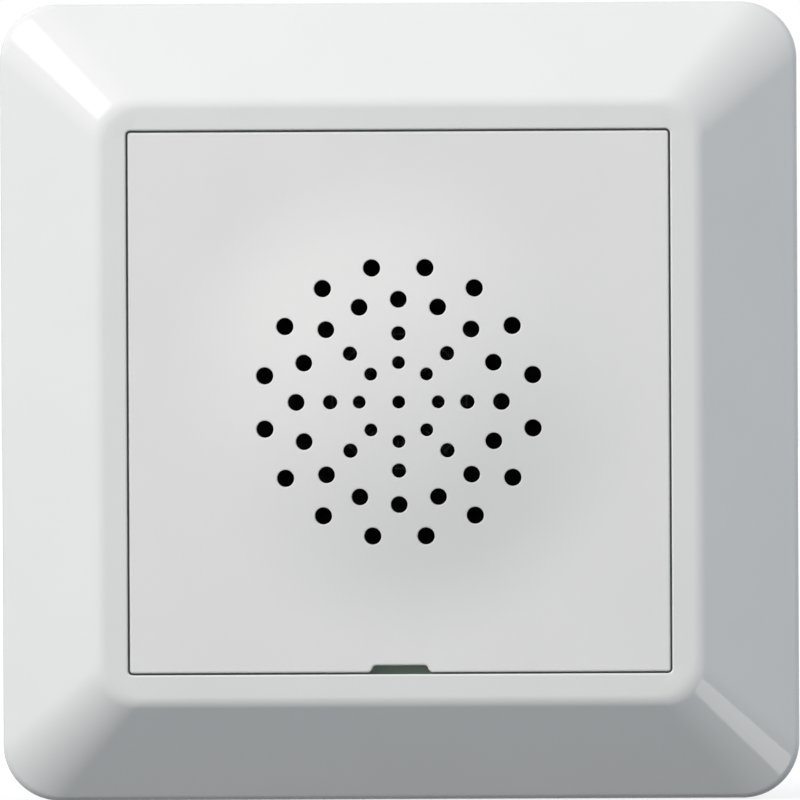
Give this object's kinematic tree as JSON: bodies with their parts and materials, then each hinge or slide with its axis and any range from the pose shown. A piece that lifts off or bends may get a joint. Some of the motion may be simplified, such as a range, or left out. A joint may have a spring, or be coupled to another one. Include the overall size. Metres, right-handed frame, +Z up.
{
  "type": "flush-mounted electronic door chime",
  "caption": "Square flush-mounted door chime: sloped cover frame, bulged perforated centre plate and steel support ring over a round insert with loudspeaker, sounder board and screw terminals.",
  "frame": {"origin": "middle of the support ring's back face, on the wall plane", "axes": "+X to the right seen from the front, +Z up, -Y out of the wall towards the viewer"},
  "size_m": [0.081, 0.0377, 0.081],
  "materials": {
    "frame_white": "moulded, glossy",
    "plate_white": "moulded, satin",
    "carrier_grey": "moulded, matt",
    "cup_grey": "moulded, fine texture",
    "zinc_steel": "zinc plated sheet",
    "screw_steel": "zinc plated",
    "foam": "closed-cell foam",
    "basket_steel": "black coated sheet",
    "yoke_steel": "zinc plated, deep drawn",
    "magnet_nickel": "nickel plated",
    "former_paper": "wound paper",
    "coil_copper": "enamelled copper wire",
    "film": "black polyester film",
    "phenolic": "phenolic paper",
    "tag_brass": "tinned brass",
    "lead_red": "insulated flex",
    "board_green": "solder resist on glass fibre",
    "chip_black": "moulded epoxy",
    "can_sleeve": "shrink sleeve",
    "film_cap_red": "dipped epoxy",
    "resistor_beige": "lacquered",
    "trimmer_blue": "moulded",
    "spindle_white": "moulded",
    "terminal_grey": "moulded",
    "cage_steel": "zinc plated"
  },
  "bodies": {
    "frame": {"cover_frame": "frame_white"},
    "plate": {"centre_plate": "plate_white"},
    "insert": {"support_ring": "zinc_steel", "front_carrier": "carrier_grey", "housing_cup": "cup_grey", "housing_screws": "screw_steel", "sound_gasket": "foam", "speaker_retainer": "carrier_grey", "retainer_screws": "screw_steel", "speaker_basket": "basket_steel", "speaker_yoke": "yoke_steel", "speaker_magnet": "magnet_nickel", "pole_plate": "yoke_steel", "surround": "film", "tag_board": "phenolic", "solder_tags": "tag_brass", "speaker_leads": "lead_red", "circuit_board": "board_green", "chime_chip": "chip_black", "amplifier_chip": "chip_black", "bridge_rectifier": "chip_black", "smoothing_capacitor": "can_sleeve", "coupling_capacitors": "can_sleeve", "film_capacitors": "film_cap_red", "resistors": "resistor_beige", "trimmer_bodies": "trimmer_blue", "terminal_block": "terminal_grey", "terminal_bars": "tag_brass"},
    "cone": {"coil_former": "former_paper", "voice_coil": "coil_copper", "diaphragm": "film"},
    "volume_control": {"volume_spindle": "spindle_white"},
    "tone_control": {"tone_spindle": "spindle_white"},
    "terminal_screw_1": {"terminal_screw_1": "screw_steel"},
    "terminal_cage_1": {"terminal_cage_1": "cage_steel"},
    "terminal_screw_2": {"terminal_screw_2": "screw_steel"},
    "terminal_cage_2": {"terminal_cage_2": "cage_steel"},
    "terminal_screw_3": {"terminal_screw_3": "screw_steel"},
    "terminal_cage_3": {"terminal_cage_3": "cage_steel"}
  },
  "joints": [
    {"name": "frame_pull", "type": "slide", "parent": "insert", "child": "frame", "axis": [0, -1, 0], "range_m": [0, 0.03]},
    {"name": "plate_pull", "type": "slide", "parent": "frame", "child": "plate", "axis": [0, -1, 0], "range_m": [0, 0.025]},
    {"name": "cone_stroke", "type": "slide", "parent": "insert", "child": "cone", "axis": [0, -1, 0], "range_m": [-0.0004, 0.0004], "stiffness_N_per_m": 400, "deforming": ["surround"]},
    {"name": "volume_turn", "type": "hinge", "parent": "insert", "child": "volume_control", "pos_m": [-0.01033, 0, 0.0179], "axis": [0, -1, 0], "range_deg": [-135, 135]},
    {"name": "tone_turn", "type": "hinge", "parent": "insert", "child": "tone_control", "pos_m": [0.01033, 0, 0.0179], "axis": [0, -1, 0], "range_deg": [-135, 135]},
    {"name": "terminal_turn_1", "type": "hinge", "parent": "insert", "child": "terminal_screw_1", "pos_m": [-0.005, 0, -0.0189], "axis": [0, -1, 0], "range_deg": [0, 2250]},
    {"name": "terminal_turn_2", "type": "hinge", "parent": "insert", "child": "terminal_screw_2", "pos_m": [0, 0, -0.0189], "axis": [0, -1, 0], "range_deg": [0, 2250]},
    {"name": "terminal_turn_3", "type": "hinge", "parent": "insert", "child": "terminal_screw_3", "pos_m": [0.005, 0, -0.0189], "axis": [0, -1, 0], "range_deg": [0, 2250]},
    {"name": "clamp_rise_1", "type": "slide", "parent": "insert", "child": "terminal_cage_1", "axis": [0, 1, 0], "range_m": [0, 0.0025]},
    {"name": "clamp_rise_2", "type": "slide", "parent": "insert", "child": "terminal_cage_2", "axis": [0, 1, 0], "range_m": [0, 0.0025]},
    {"name": "clamp_rise_3", "type": "slide", "parent": "insert", "child": "terminal_cage_3", "axis": [0, 1, 0], "range_m": [0, 0.0025]}
  ],
  "couplings": [
    {"joint": "terminal_turn_1", "follows": "clamp_rise_1", "rad_per_m": 15708},
    {"joint": "terminal_turn_2", "follows": "clamp_rise_2", "rad_per_m": 15708},
    {"joint": "terminal_turn_3", "follows": "clamp_rise_3", "rad_per_m": 15708}
  ]
}
